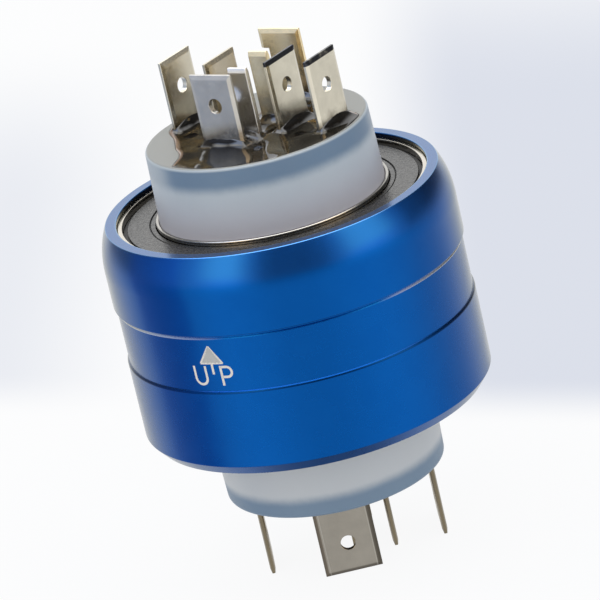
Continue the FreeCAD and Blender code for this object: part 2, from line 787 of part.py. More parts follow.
lower_bearing_top = less(stack_base, size("end_gap"))
pocket_floor = less(lower_bearing_top, size("lower_bearing_width"))
lower_shoulder = less(size("lower_pitch"), size("lower_ring_clearance"))

make_housing()
upper_ends = [level_height(LEVELS - number) for number in range(1, LEVELS + 1)]
upper_terminals = make_terminals("upper", UPPER_BLADES, cap_top, 1, upper_ends)
lower_ends = [cap_top_face] * LEVELS
lower_terminals = make_terminals("lower", LOWER_BLADES, cap_bottom, -1, lower_ends)
tail_fits = make_upper_cap(upper_terminals)
make_rotor_stack(tail_fits)
make_lower_cap(lower_terminals)
make_stator_stack()
make_upper_bearing()
make_lower_bearing()
doc.recompute()

for item in doc.Objects:
    if "Invalid" in item.State or "Error" in item.State:
        raise RuntimeError("failed: %s (%s)" % (item.Name, item.Label))
for name, item in NODES.items():
    if item.Shape.isNull() or not item.Shape.isValid() or not item.Shape.Solids:
        raise RuntimeError("no valid solid: " + name)

os.makedirs("parts", exist_ok=True)
for name, item in NODES.items():
    item.Shape.exportStep("parts/%s.step" % name)
    print(name, len(item.Shape.Solids), round(item.Shape.Volume, 2))
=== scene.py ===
import json
import math

import bmesh
import bpy
import numpy as np
from mathutils import Matrix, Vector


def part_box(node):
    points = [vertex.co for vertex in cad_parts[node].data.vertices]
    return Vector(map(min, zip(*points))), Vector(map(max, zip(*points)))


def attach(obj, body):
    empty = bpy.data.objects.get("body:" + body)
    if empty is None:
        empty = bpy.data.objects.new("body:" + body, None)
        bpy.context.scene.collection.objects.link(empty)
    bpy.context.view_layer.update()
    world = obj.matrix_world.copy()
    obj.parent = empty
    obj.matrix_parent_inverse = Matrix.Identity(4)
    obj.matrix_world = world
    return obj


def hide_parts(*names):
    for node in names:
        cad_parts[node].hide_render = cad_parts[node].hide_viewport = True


# A rotary connector: a turned blue housing, a sealed bearing, and two insulating caps
# whose resin pools hold tinned blade terminals. Shapes are worked out in millimetres.

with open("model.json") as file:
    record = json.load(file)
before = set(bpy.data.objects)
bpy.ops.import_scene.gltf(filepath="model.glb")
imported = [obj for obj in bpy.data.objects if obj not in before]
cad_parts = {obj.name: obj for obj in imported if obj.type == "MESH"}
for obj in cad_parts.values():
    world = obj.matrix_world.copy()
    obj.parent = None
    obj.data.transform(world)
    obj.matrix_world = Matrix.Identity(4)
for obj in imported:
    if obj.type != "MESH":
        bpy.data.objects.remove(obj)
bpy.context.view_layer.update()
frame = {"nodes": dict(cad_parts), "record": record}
nodes = frame["nodes"]

MM = 0.001
ACROSS, UP = 0, 2                # axes of a node's box


def low(node, axis):
    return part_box(node)[0][axis] / MM


def high(node, axis):
    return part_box(node)[1][axis] / MM


# Sizes that the frame gives
lower_band = high("lower_shell", ACROSS)
upper_band = high("upper_shell", ACROSS)
housing_bottom = low("lower_shell", UP)
spigot_top = high("lower_shell", UP)
joint_height = low("upper_shell", UP)
rim_top = high("upper_shell", UP)
bearing_outer = high("upper_bearing_outer_ring", ACROSS)
bearing_bottom = low("upper_bearing_outer_ring", UP)
hub_bottom = low("upper_cap", UP)
cap_top = high("upper_cap", UP)
flange_radius = high("upper_cap", ACROSS)
pool_floor = low("upper_resin", UP)
lower_cap_face = low("lower_cap", UP)
lower_pool_floor = high("lower_resin", UP)
lower_pool_radius = high("lower_resin", ACROSS)
stack_radius = high("stator_insulators", ACROSS)

# Sizes that it doesn't
FIT = 0.03                       # play between pieces that seat on each other
LOWER_STEP = 0.20                # the lower band stands this far out of the middle one
MIDDLE_HEIGHT = 6.30
LEDGE_ROUND = 0.36
LEDGE_TILT = math.radians(60)    # how far the ledge's rounding turns before it meets the band
JOINT_ROUND = 0.14
JOINT_CHAMFER = (0.12, 0.18)     # how far it goes across and up
JOINT_BELOW = 0.20               # it ends this far under the upper shell
FOOT_CHAMFER = (0.95, 1.20)      # across and up
SHOULDER_RADIUS = 9.70
RIM_WIDTH = 1.30
FLOOR_THICKNESS = 2.50
SPIGOT_WALL = 1.55
CLAMP_LIP = 2.00
O_RING = 0.80
O_RING_BELOW = 0.70
HUB_FLANGE = 0.85
CAP_TAPER = 0.20
CAP_EDGE = 0.38
CAP_RIM_WALL = 0.45
CAP_DRAFT = 0.26
CORE = 0.50                      # where the cap's outline ends, and its pool's inmost ring
POOL_LIP = 0.07                  # rounding of the pool's edge
SEEN_THROUGH = 3.20              # plastic this thick hides the resin behind it
LOWER_CAP_INSET = 4.28
RESIN_BELOW = 0.10               # the resin stands this far inside the cap's face
MENISCUS = (1.05, 0.62)          # how high resin creeps up a blade, and how fast that fades
WALL_CREEP = 0.25                # how fast its creep up the wall fades
FILM_WIDTH = 0.42                # how far from the wall it is thin
SEAL_FACE = 15.97                # outer radius of the seal's face
SEAL_GROOVE = 13.41              # inner radius of the groove beside its lip
BLADE_THICKNESS = 0.60
BLADE_EDGE = 0.05
ROW_TURN = {"upper": 51.0, "lower": 90.0}    # in degrees

middle_band = lower_band - LOWER_STEP
ledge_height = joint_height - MIDDLE_HEIGHT
shell_bore = stack_radius + FIT
spigot_radius = shell_bore + SPIGOT_WALL
rim_bore = bearing_outer + FIT
rim_outer = rim_bore + RIM_WIDTH
journal_radius = flange_radius - HUB_FLANGE
cap_radius = journal_radius - CAP_TAPER
lower_cap_radius = shell_bore - LOWER_CAP_INSET
blade_reach = high("upper_terminal_1", UP) - cap_top

# Edge of the upper resin pool: direction in degrees, and reach as a share of the cap's
# radius. A reach past the cap's rim is trimmed by it.
POOL_EDGE = np.array([
    (0, 0.741), (22, 0.691), (44, 0.807), (60, 0.840), (72, 0.576), (80, 0.379), (98, 0.412),
    (116, 0.658), (132, 0.897), (149, 0.881), (163, 0.765), (186, 0.733), (206, 0.798),
    (218, 1.004), (232, 1.086), (277, 1.119), (322, 1.086), (338, 0.979),
])

# Angles between faces: merged up to the first, creased from the second, bevelled from the third
FLAT_WITHIN = math.radians(0.5)
SHARP_FROM = math.radians(13)
BEVEL_FROM = math.radians(30)


# Shapes

def surface(name, grid, normals=None, wrap_around=True, wrap_along=False, poles=()):
    """Mesh through a grid of points, grid[i, j]: i runs around the piece and j along it.

    Each face joins points (i, j), (i + 1, j), (i + 1, j + 1) and (i, j + 1). Poles are two
    more points, which close the first and the last ring with triangles."""
    around, along = grid.shape[:2]
    index = np.arange(around * along).reshape(around, along)
    if wrap_around:
        index = np.vstack([index, index[:1]])
    if wrap_along:
        index = np.hstack([index, index[:, :1]])
    quads = np.stack([index[:-1, :-1], index[1:, :-1], index[1:, 1:], index[:-1, 1:]], -1)
    quads = quads.reshape(-1, 4)
    points = grid.reshape(-1, 3)
    fans = np.zeros((0, 3), int)
    if len(poles):
        first, last = len(points), len(points) + 1
        points = np.vstack([points, poles])
        start = np.stack([0 * index[:-1, 0] + first, index[1:, 0], index[:-1, 0]], -1)
        end = np.stack([0 * index[:-1, -1] + last, index[:-1, -1], index[1:, -1]], -1)
        fans = np.vstack([start, end])
    loops = np.concatenate([quads.reshape(-1), fans.reshape(-1)])
    starts = np.concatenate([np.arange(len(quads)) * 4, quads.size + np.arange(len(fans)) * 3])
    mesh = bpy.data.meshes.new(name)
    mesh.vertices.add(len(points))
    mesh.vertices.foreach_set("co", (points * MM).reshape(-1).astype(np.float32))
    mesh.loops.add(len(loops))
    mesh.loops.foreach_set("vertex_index", loops.astype(np.int32))
    mesh.polygons.add(len(starts))
    mesh.polygons.foreach_set("loop_start", starts.astype(np.int32))
    mesh.update(calc_edges=True)
    mesh.validate()
    mesh.shade_smooth()
    if normals is not None:
        mesh.normals_split_custom_set_from_vertices(normals.reshape(-1, 3).tolist())
    piece = bpy.data.objects.new(name, mesh)
    bpy.context.scene.collection.objects.link(piece)
    return piece


def rounded(corners, arc_step=0.4, least=5):
    """Closed outline, anticlockwise, whose corners (across, up, radius) become arcs.

    An arc of radius q at a corner that turns by angle t starts q tan(t / 2) before it, and
    after a share s of the turn its direction is the first side's, turned by s t. Gives the
    points and the directions that the surface faces there."""
    corners = np.array(corners, float)
    point, radius = corners[:, :2], corners[:, 2]
    coming = point - np.roll(point, 1, 0)
    angle = np.arctan2(coming[:, 1], coming[:, 0])
    turn = (np.roll(angle, -1) - angle + math.pi) % (2 * math.pi) - math.pi
    ahead = np.stack([np.cos(angle), np.sin(angle)], 1)
    start = point - ahead * (radius * np.abs(np.tan(turn / 2)))[:, None]
    counts = np.maximum(least, np.ceil(np.abs(turn) * radius / arc_step)).astype(int) + 1
    which = np.repeat(np.arange(len(corners)), counts)
    step = np.arange(len(which)) - (np.cumsum(counts) - counts)[which]
    reached = angle[which] + turn[which] * step / (counts[which] - 1)
    swing = (radius * np.sign(turn))[which]
    across = start[which, 0] + swing * (np.sin(reached) - np.sin(angle[which]))
    up = start[which, 1] - swing * (np.cos(reached) - np.cos(angle[which]))
    return np.stack([across, up], 1), np.stack([np.sin(reached), -np.cos(reached)], 1)


def turned(name, corners, steps=256):
    """Rounded outline (radius, height) carried round the axis: x = r cos a, y = r sin a."""
    outline, facing = rounded(corners)
    angle = np.linspace(0, 2 * math.pi, steps, endpoint=False)[:, None]
    level = np.ones_like(angle)
    points, normals = (np.stack([across * np.cos(angle), across * np.sin(angle), level * up], -1)
                       for across, up in (outline.T, facing.T))
    return surface(name, points, normals, wrap_along=True)


def dress(piece, body, slot, finish, *replaced):
    """Give a finished piece its body, its material and what it stands for; the slot is not used."""
    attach(piece, body)
    if replaced:
        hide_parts(*replaced)
    piece.data.materials.clear()
    piece.data.materials.append(finish)
    return piece


def mark_points(piece, name, values):
    """Keep a number for each point of a piece, for its material."""
    kept = piece.data.attributes.new(name, "FLOAT", "POINT")
    kept.data.foreach_set("value", np.asarray(values, np.float32).reshape(-1))


def softened(node, width, slot, finish, body, segments=3):
    """Copy of a node with its sharp edges rounded, as a press or a lathe leaves them."""
    mesh = nodes[node].data.copy()
    mesh.name = node + "_soft"
    mesh.attributes.remove(mesh.attributes["custom_normal"])
    edit = bmesh.new()
    edit.from_mesh(mesh)
    bmesh.ops.remove_doubles(edit, verts=edit.verts, dist=1e-6)
    bmesh.ops.dissolve_limit(edit, angle_limit=FLAT_WITHIN, verts=edit.verts,
                             edges=edit.edges)
    edit.to_mesh(mesh)
    edit.free()
    mesh.shade_smooth()
    mesh.set_sharp_from_angle(angle=SHARP_FROM)
    piece = bpy.data.objects.new(node + "_soft", mesh)
    bpy.context.scene.collection.objects.link(piece)
    bevel = piece.modifiers.new("rounding", "BEVEL")
    bevel.width = width * MM
    bevel.segments = segments
    bevel.limit_method = "ANGLE"
    bevel.angle_limit = BEVEL_FROM
    bevel.harden_normals = True
    bevel.use_clamp_overlap = True
    return dress(piece, body, slot, finish, node)


# Node trees

def add(tree, kind, sockets=None, **settings):
    """Add a node; sockets gives its inputs values or sources, settings its own properties."""
    node = tree.nodes.new(kind)
    for name, value in settings.items():
        setattr(node, name, value)
    for name, value in (sockets or {}).items():
        if isinstance(value, bpy.types.NodeSocket):
            tree.links.new(value, node.inputs[name])
        else:
            node.inputs[name].default_value = value
    return node


def maths(tree, operation, first, second=0.0, clamp=False):
    return add(tree, "ShaderNodeMath", {0: first, 1: second}, operation=operation,
               use_clamp=clamp).outputs[0]


def total(tree, values):
    result = values[0]
    for value in values[1:]:
        result = maths(tree, "ADD", result, value)
    return result


def ramp(tree, value, start, end, low_value=0.0, high_value=1.0):
    """Smooth step of a value from start to end."""
    return add(tree, "ShaderNodeMapRange", {
        "Value": value, "From Min": start, "From Max": end, "To Min": low_value,
        "To Max": high_value}, interpolation_type="SMOOTHSTEP").outputs["Result"]


def window(tree, value, start, end, soft):
    """1 between start and end, 0 outside, with soft edges."""
    return maths(tree, "MULTIPLY", ramp(tree, value, start - soft, start + soft),
                 ramp(tree, value, end - soft, end + soft, 1.0, 0.0))


def mixed(tree, factor, first, second):
    """Blend of two colours."""
    node = add(tree, "ShaderNodeMix", {0: factor}, data_type="RGBA")
    for socket, value in ((6, first), (7, second)):
        if isinstance(value, bpy.types.NodeSocket):
            tree.links.new(value, node.inputs[socket])
        else:
            node.inputs[socket].default_value = (*value, 1.0)
    return node.outputs[2]


def noise(tree, vector, scale, detail, roughness=0.5):
    return add(tree, "ShaderNodeTexNoise", {
        "Vector": vector, "Scale": scale, "Detail": detail,
        "Roughness": roughness}).outputs[0]


def group(name, inputs, output):
    """Node group with one output; inputs list (name, kind, value)."""
    tree = bpy.data.node_groups.new(name, "ShaderNodeTree")
    for label, kind, value in inputs:
        socket = tree.interface.new_socket(label, in_out="INPUT", socket_type="NodeSocket" + kind)
        if value is not None:
            socket.default_value = value
    tree.interface.new_socket(output, in_out="OUTPUT", socket_type="NodeSocketFloat")
    return tree, tree.nodes.new("NodeGroupInput").outputs, tree.nodes.new("NodeGroupOutput").inputs


def use(tree, made, **sockets):
    """Put a group into a tree and give its result."""
    node = tree.nodes.new("ShaderNodeGroup")
    node.node_tree = made
    for name, value in sockets.items():
        if isinstance(value, bpy.types.NodeSocket):
            tree.links.new(value, node.inputs[name])
        else:
            node.inputs[name].default_value = value
    return node.outputs[0]


def make_mottle():
    """Cloudy mask about 0.5."""
    tree, given, result = group("mottle", [
        ("Vector", "Vector", None), ("Scale", "Float", 1000.0), ("Contrast", "Float", 1.0),
    ], "Mask")
    cloud = noise(tree, given["Vector"], given["Scale"], 4.0, 0.6)
    centred = maths(tree, "SUBTRACT", cloud, 0.5)
    scaled = maths(tree, "MULTIPLY", centred, given["Contrast"])
    tree.links.new(maths(tree, "ADD", scaled, 0.5, True), result[0])
    return tree


def make_turning():
    """Height of fine lathe lines: noise that changes along the outline, hardly around it."""
    tree, given, result = group("turning_lines", [
        ("Vector", "Vector", None), ("Pitch", "Float", 9000.0),
    ], "Height")
    parts = add(tree, "ShaderNodeSeparateXYZ", {0: given["Vector"]}).outputs
    square = total(tree, [maths(tree, "MULTIPLY", parts[way], parts[way]) for way in "XY"])
    lines = add(tree, "ShaderNodeCombineXYZ", {
        "X": maths(tree, "MULTIPLY", maths(tree, "SQRT", square), given["Pitch"]),
        "Y": maths(tree, "MULTIPLY", parts["X"], 60.0),
        "Z": maths(tree, "MULTIPLY", parts["Z"], given["Pitch"])}).outputs[0]
    tree.links.new(noise(tree, lines, 1.0, 2.0), result[0])
    return tree


mottle, turning_lines = make_mottle(), make_turning()


def material(name, **sockets):
    """Principled material; gives its tree, its shader and its object coordinates."""
    made = bpy.data.materials.new(name)
    made.use_nodes = True
    tree = made.node_tree
    shader = tree.nodes["Principled BSDF"]
    for label, value in sockets.items():
        shader.inputs[label.replace("__", " ")].default_value = value
    place = tree.nodes.new("ShaderNodeTexCoord").outputs["Object"]
    return made, tree, shader, place


def feed(tree, shader, **sources):
    for label, source in sources.items():
        tree.links.new(source, shader.inputs[label.replace("__", " ")])


def bumped(tree, height, depth):
    """Normal from a height between 0 and 1, whose depth is in millimetres."""
    return add(tree, "ShaderNodeBump", {"Distance": depth * MM, "Height": height}).outputs["Normal"]


def height_of(tree, place):
    """Height above the lower tips, in millimetres."""
    up = add(tree, "ShaderNodeSeparateXYZ", {0: place}).outputs["Z"]
    return maths(tree, "MULTIPLY", up, 1 / MM)


def radius_of(tree, place):
    """Distance from the axis, in millimetres."""
    parts = add(tree, "ShaderNodeSeparateXYZ", {0: place}).outputs
    square = total(tree, [maths(tree, "MULTIPLY", parts[way], parts[way]) for way in "XY"])
    return maths(tree, "MULTIPLY", maths(tree, "SQRT", square), 1 / MM)


def wavering(tree, up, cloud, reach):
    """Height with a mask's waver added to it."""
    waver = maths(tree, "MULTIPLY", maths(tree, "SUBTRACT", cloud, 0.5), reach)
    return maths(tree, "ADD", up, waver)


def across_of(tree, place):
    """Distance to the right of the axis, in millimetres."""
    across = add(tree, "ShaderNodeSeparateXYZ", {0: place}).outputs["X"]
    return maths(tree, "MULTIPLY", across, 1 / MM)


# Colours of the finishes, as shares of red, green and blue
BLACK = (0.001, 0.001, 0.001)
OXIDE = (0.0008, 0.084, 0.36), (0.0016, 0.096, 0.39)
SHOULDER_HAZE = (0.55, 0.50, 1.00)
# The rim's second colour is a painted highlight along its edges
RIM_FACE, RIM_HIGHLIGHT = (0.004, 0.085, 0.33), (0.06, 0.19, 0.45)
BORE_SHADE = (0.0, 0.006, 0.03)
# Painted shade under the ledge
LEDGE_SHADE = (0.0, 0.02, 0.10)
# Painted highlight on the joint's chamfer
JOINT_HIGHLIGHT = (0.98, 1.0, 1.0)
CREAM = (0.62, 0.58, 0.52), (0.86, 0.81, 0.74)
MARK_GREY = (0.40, 0.40, 0.39), (0.52, 0.52, 0.50)
CAP_FOOT, CAP_WALL, CAP_FACE = (0.56, 0.55, 0.60), (0.47, 0.53, 0.575), (0.275, 0.28, 0.262)
CAP_SMOKE = (0.33, 0.34, 0.36)
RESIN_BEHIND = (0.125, 0.205, 0.305)
LOWER_WALL, LOWER_RESIN_BEHIND = (0.56, 0.585, 0.60), (0.175, 0.255, 0.35)
RESIN_DEEP = (0.003, 0.0026, 0.0022), (0.011, 0.008, 0.005)
RESIN_FILM = (0.33, 0.23, 0.17)
TIN = (0.78, 0.735, 0.61)
TIN_STAIN = (0.16, 0.13, 0.09)
# Painted dark reflection on the tip bevels
TIP_BEVEL_SHADE = (0.012, 0.018, 0.035)
# Painted dark reflection on the side bevels
SIDE_BEVEL_SHADE = (0.07, 0.06, 0.05)
# Painted shade on the front lower blade's bevels, and its painted highlight lines
BAND_SHADE_LEFT, BAND_SHADE_RIGHT, BAND_GLINT = (0.13, 0.11, 0.085), (0.085, 0.075, 0.06), (0.62, 0.60, 0.55)
RUBBER = (0.002, 0.002, 0.0018), (0.020, 0.019, 0.016)

# How much of a colour shows at most, and sizes of what the finishes draw
HAZE_SHARE = 0.012
# Share and reach of the painted shade under the ledge
LEDGE_SHADE_SHARE = 0.75
LEDGE_SHADE_BELOW = 0.30
JOINT_HIGHLIGHT_ASIDE = (8.0, 18.5)         # the painted highlight on the joint's chamfer grows over this way to either side
RIM_HIGHLIGHT_WIDTHS = (0.13, 0.14)         # widths of the painted highlight lines at the rim's outer and inner edge
UPPER_STAIN, LOWER_STAIN = 2.0, 0.8
TIP_BEVEL = 0.50
BAND_WIDTHS = (0.42, 0.50)       # the front lower blade's bands of painted shade, left and right
BAND_SHARES = (0.72, 0.85)
BAND_SOFT = 0.06
GLINT_SHARE = 0.35


# Finishes

def anodised(name, roughness, haze_from):
    """Blue anodised aluminium, fine turned.

    It has a faint haze on the shoulder, a flat rim with painted highlights along its edges,
    painted shade in the bore and under the ledge, and a painted highlight on the joint's chamfer
    that grows towards the left and the right."""
    made, tree, shader, place = material(
        name, Metallic=1.0, Coat__Weight=1.0, Coat__Roughness=0.15, Coat__IOR=1.1,
        Anisotropic=0.3, Anisotropic__Rotation=0.25, Specular__Tint=(1.0, 0.98, 0.8, 1.0))
    cloud = use(tree, mottle, Vector=place, Scale=350.0, Contrast=1.2)
    lines = use(tree, turning_lines, Vector=place, Pitch=9000.0)
    up = height_of(tree, place)
    hazy = mixed(tree, ramp(tree, up, haze_from, haze_from + 1.0, 0.0, HAZE_SHARE),
                 mixed(tree, cloud, *OXIDE), SHOULDER_HAZE)
    radius = radius_of(tree, place)
    # Painted highlights: lighter lines along the rim's outer and inner edges
    rim_highlight = maths(tree, "MAXIMUM",
                     window(tree, radius, rim_outer - RIM_HIGHLIGHT_WIDTHS[0], rim_outer + 0.3, 0.03),
                     window(tree, radius, rim_bore - 0.3, rim_bore + RIM_HIGHLIGHT_WIDTHS[1], 0.03))
    rim_with_highlight = mixed(tree, rim_highlight, RIM_FACE, RIM_HIGHLIGHT)
    faced = mixed(tree, ramp(tree, up, rim_top - 0.09, rim_top - 0.03), hazy, rim_with_highlight)
    bore = maths(tree, "MULTIPLY", ramp(tree, radius, rim_bore + 0.10, rim_bore + 0.03),
                 ramp(tree, up, rim_top - 0.05, rim_top - 0.2))
    shaded = mixed(tree, bore, faced, BORE_SHADE)
    # Painted shade in the lower band's rounding, just under the ledge
    ledge = window(tree, up, ledge_height - LEDGE_SHADE_BELOW, ledge_height + 0.02, 0.02)
    ledge_shaded = mixed(tree, maths(tree, "MULTIPLY", ledge, LEDGE_SHADE_SHARE), shaded, LEDGE_SHADE)
    # Painted highlight on the joint's chamfer, growing towards the left and the right
    aside = maths(tree, "ABSOLUTE", across_of(tree, place))
    chamfer = window(tree, up, joint_height - JOINT_BELOW - JOINT_CHAMFER[1] - 0.03,
                     joint_height - JOINT_BELOW, 0.02)
    joint_highlight = maths(tree, "MULTIPLY", ramp(tree, aside, *JOINT_HIGHLIGHT_ASIDE), chamfer)
    feed(tree, shader, Base__Color=mixed(tree, joint_highlight, ledge_shaded, JOINT_HIGHLIGHT),
         Roughness=ramp(tree, cloud, 0.2, 0.8, roughness * 0.9, roughness * 1.15),
         Normal=bumped(tree, lines, 0.0008))
    return made


def laser_mark(name, dark, light):
    made, tree, shader, place = material(name, Roughness=0.6)
    grain = use(tree, mottle, Vector=place, Scale=9000.0, Contrast=2.0)
    feed(tree, shader, Base__Color=mixed(tree, grain, dark, light))
    return made


def cap_plastic():
    """Translucent insulating plastic; the dark resin behind its wall shows as a blue-grey band.

    The point attribute "behind" says how near the resin lies behind each point."""
    made, tree, shader, place = material("upper_cap_plastic", Roughness=0.42, IOR=1.49)
    cloud = use(tree, mottle, Vector=place, Scale=500.0, Contrast=1.4)
    up = height_of(tree, place)
    side = mixed(tree, ramp(tree, up, rim_top - 1.0, pool_floor), CAP_FOOT, CAP_WALL)
    body = mixed(tree, ramp(tree, up, cap_top - 0.12, cap_top - 0.01), side, CAP_FACE)
    behind = add(tree, "ShaderNodeAttribute", attribute_name="behind").outputs["Fac"]
    level = wavering(tree, up, cloud, 0.3)
    band = maths(tree, "MULTIPLY", ramp(tree, level, pool_floor - 0.8, pool_floor + 0.7),
                 ramp(tree, up, cap_top - 0.1, cap_top - 0.4))
    tinted = mixed(tree, maths(tree, "MULTIPLY", band, behind), body, RESIN_BEHIND)
    grain = use(tree, mottle, Vector=place, Scale=6000.0, Contrast=1.0)
    smoky = mixed(tree, maths(tree, "MULTIPLY", cloud, 0.1), tinted, CAP_SMOKE)
    feed(tree, shader, Base__Color=smoky, Normal=bumped(tree, grain, 0.002))
    return made


def lower_plastic():
    """The lower cap's plastic, with the same band over its own resin."""
    made, tree, shader, place = material("lower_cap_plastic", Roughness=0.42, IOR=1.49)
    cloud = use(tree, mottle, Vector=place, Scale=500.0, Contrast=1.4)
    level = wavering(tree, height_of(tree, place), cloud, 0.3)
    band = ramp(tree, level, lower_pool_floor + 0.4, lower_pool_floor - 1.0)
    grain = use(tree, mottle, Vector=place, Scale=6000.0, Contrast=1.0)
    feed(tree, shader, Base__Color=mixed(tree, band, LOWER_WALL, LOWER_RESIN_BEHIND),
         Normal=bumped(tree, grain, 0.002))
    return made


def resin():
    """Dark potting resin, glossy, amber where the point attribute "film" says it is thin."""
    made, tree, shader, place = material("potting_resin", Roughness=0.04, IOR=1.48)
    film = add(tree, "ShaderNodeAttribute", attribute_name="film").outputs["Fac"]
    cloud = use(tree, mottle, Vector=place, Scale=500.0, Contrast=2.0)
    feed(tree, shader, Base__Color=mixed(tree, film, mixed(tree, cloud, *RESIN_DEEP), RESIN_FILM),
         Normal=bumped(tree, cloud, 0.009))
    return made


def banded(tree, place, plain, bands):
    """Painted shade in bands along both edges of a blade that stands across the front, and painted
    highlight lines.

    bands gives the place of the blade's middle line, and how far from that the left and the
    right band start. They run from there to the blade's edges."""
    middle, left, right = bands
    off = maths(tree, "SUBTRACT", across_of(tree, place), middle)
    left_band = maths(tree, "MULTIPLY", ramp(tree, off, -left, -left - BAND_SOFT), BAND_SHARES[0])
    right_band = maths(tree, "MULTIPLY", ramp(tree, off, right, right + BAND_SOFT), BAND_SHARES[1])
    # Painted shade along both edges, then painted highlight lines beside it
    band_shaded = mixed(tree, right_band, mixed(tree, left_band, plain, BAND_SHADE_LEFT), BAND_SHADE_RIGHT)
    start = min(left, right)
    glint = window(tree, maths(tree, "ABSOLUTE", off), start - 0.09, start - 0.02, 0.03)
    return mixed(tree, maths(tree, "MULTIPLY", glint, GLINT_SHARE), band_shaded, BAND_GLINT)


def tin(name, pale, face_height=cap_top, way=1, reach=UPPER_STAIN, tip=0.0, side=0.0, bands=None):
    """Tinned brass blade: soft mottling, and a root that is stained over a given reach.

    way is 1 where blades point up from the face height, and -1 where they point down. tip
    and side say how much painted shade, standing for dark reflections, darkens the tip and the
    side bevels; the point attribute "side" says where the side ones lie. bands is for the blade
    that stands across the front."""
    made, tree, shader, place = material(name, Metallic=1.0)
    cloud = use(tree, mottle, Vector=place, Scale=420.0, Contrast=2.4)
    fine = use(tree, mottle, Vector=place, Scale=2600.0, Contrast=1.6)
    above = maths(tree, "SUBTRACT", height_of(tree, place), face_height)
    above = maths(tree, "MULTIPLY", above, way)
    clean = mixed(tree, cloud, tuple(0.86 * part for part in pale), pale)
    beside = add(tree, "ShaderNodeAttribute", attribute_name="side").outputs["Fac"]
    # Painted dark reflection on the side bevels, where the side attribute marks them
    bevel_shaded = mixed(tree, ramp(tree, beside, 0.02, 0.45, 0.0, side), clean, SIDE_BEVEL_SHADE)
    if bands:
        bevel_shaded = banded(tree, place, bevel_shaded, bands)
    stain = ramp(tree, wavering(tree, above, cloud, 1.2), reach, 0.1, 0.0, 0.75)
    stained = mixed(tree, stain, bevel_shaded, TIN_STAIN)
    bevel_from = blade_reach - TIP_BEVEL
    # Painted dark reflection on the tip bevel, as strong as tip says
    end = maths(tree, "MULTIPLY", ramp(tree, above, bevel_from - 0.02, bevel_from + 0.04, 0.0, tip),
                ramp(tree, cloud, 0.15, 0.45, 0.6, 1.0))
    feed(tree, shader, Base__Color=mixed(tree, end, stained, TIP_BEVEL_SHADE),
         Roughness=ramp(tree, fine, 0.1, 0.9, 0.19, 0.27),
         Normal=bumped(tree, fine, 0.0006))
    return made


def ground_steel(name, dark, light):
    made, tree, shader, place = material(name, Metallic=1.0)
    lines = use(tree, turning_lines, Vector=place, Pitch=14000.0)
    feed(tree, shader, Base__Color=mixed(tree, lines, dark, light),
         Roughness=ramp(tree, lines, 0.2, 0.8, 0.14, 0.20), Normal=bumped(tree, lines, 0.0003))
    return made


def seal_rubber():
    """Nitrile seal with a fine moulded grain, and painted shade, black, in its bead and in the lip's
    groove.
    """
    made, tree, shader, place = material("seal_rubber", IOR=1.5)
    grain = use(tree, mottle, Vector=place, Scale=2400.0, Contrast=2.6)
    radius = radius_of(tree, place)
    bead = ramp(tree, radius, SEAL_FACE - 0.03, SEAL_FACE + 0.01)
    groove = window(tree, radius, SEAL_GROOVE, SEAL_GROOVE + 0.16, 0.02)
    # Painted shade in the bead and in the lip's groove
    dark = maths(tree, "MAXIMUM", bead, groove)
    plain = mixed(tree, grain, *RUBBER)
    satin = ramp(tree, grain, 0.2, 0.8, 0.34, 0.22)
    feed(tree, shader, Base__Color=mixed(tree, dark, plain, BLACK),
         Roughness=add(tree, "ShaderNodeMix", {0: dark, 2: satin, 3: 0.6}).outputs[0],
         Normal=bumped(tree, grain, 0.012))
    return made


def moulded(name, dark, light, roughness):
    """Plain moulded plastic or rubber with a slight grain."""
    made, tree, shader, place = material(name, Roughness=roughness)
    cloud = use(tree, mottle, Vector=place, Scale=700.0, Contrast=1.5)
    grain = use(tree, mottle, Vector=place, Scale=7000.0, Contrast=1.0)
    feed(tree, shader, Base__Color=mixed(tree, cloud, dark, light),
         Normal=bumped(tree, grain, 0.003))
    return made


def plated(name, dark, light, roughness):
    """Stamped or plated metal inside the stack."""
    made, tree, shader, place = material(name, Metallic=1.0)
    cloud = use(tree, mottle, Vector=place, Scale=900.0, Contrast=1.8)
    feed(tree, shader, Base__Color=mixed(tree, cloud, dark, light),
         Roughness=ramp(tree, cloud, 0.2, 0.8, roughness * 0.8, roughness * 1.2),
         Normal=bumped(tree, cloud, 0.002))
    return made


blue_polished = anodised("anodised_blue_upper", 0.19, rim_top - 3.4)
blue_satin = anodised("anodised_blue_lower", 0.27, rim_top)
cream_mark = laser_mark("cream_mark", *CREAM)
grey_mark = laser_mark("grey_mark", *MARK_GREY)
upper_plastic = cap_plastic()
dark_resin = resin()

# Finishes of the blades: the upper ones by number, the lower one in front, the other lower ones
upper_tin = tin("upper_tin", TIN)
# Lighter, darker and tinted copies of the one tin for single upper blades: painted light that stands
# in for what each blade reflects
olive_shaded_tin = tin("olive_shaded_tin", (0.60, 0.54, 0.42))
grey_shaded_tin = tin("grey_shaded_tin", (0.58, 0.56, 0.515))
pale_lit_tin = tin("pale_lit_tin", (0.93, 0.92, 0.90))
warm_lit_tin = tin("warm_lit_tin", (0.98, 0.83, 0.54))
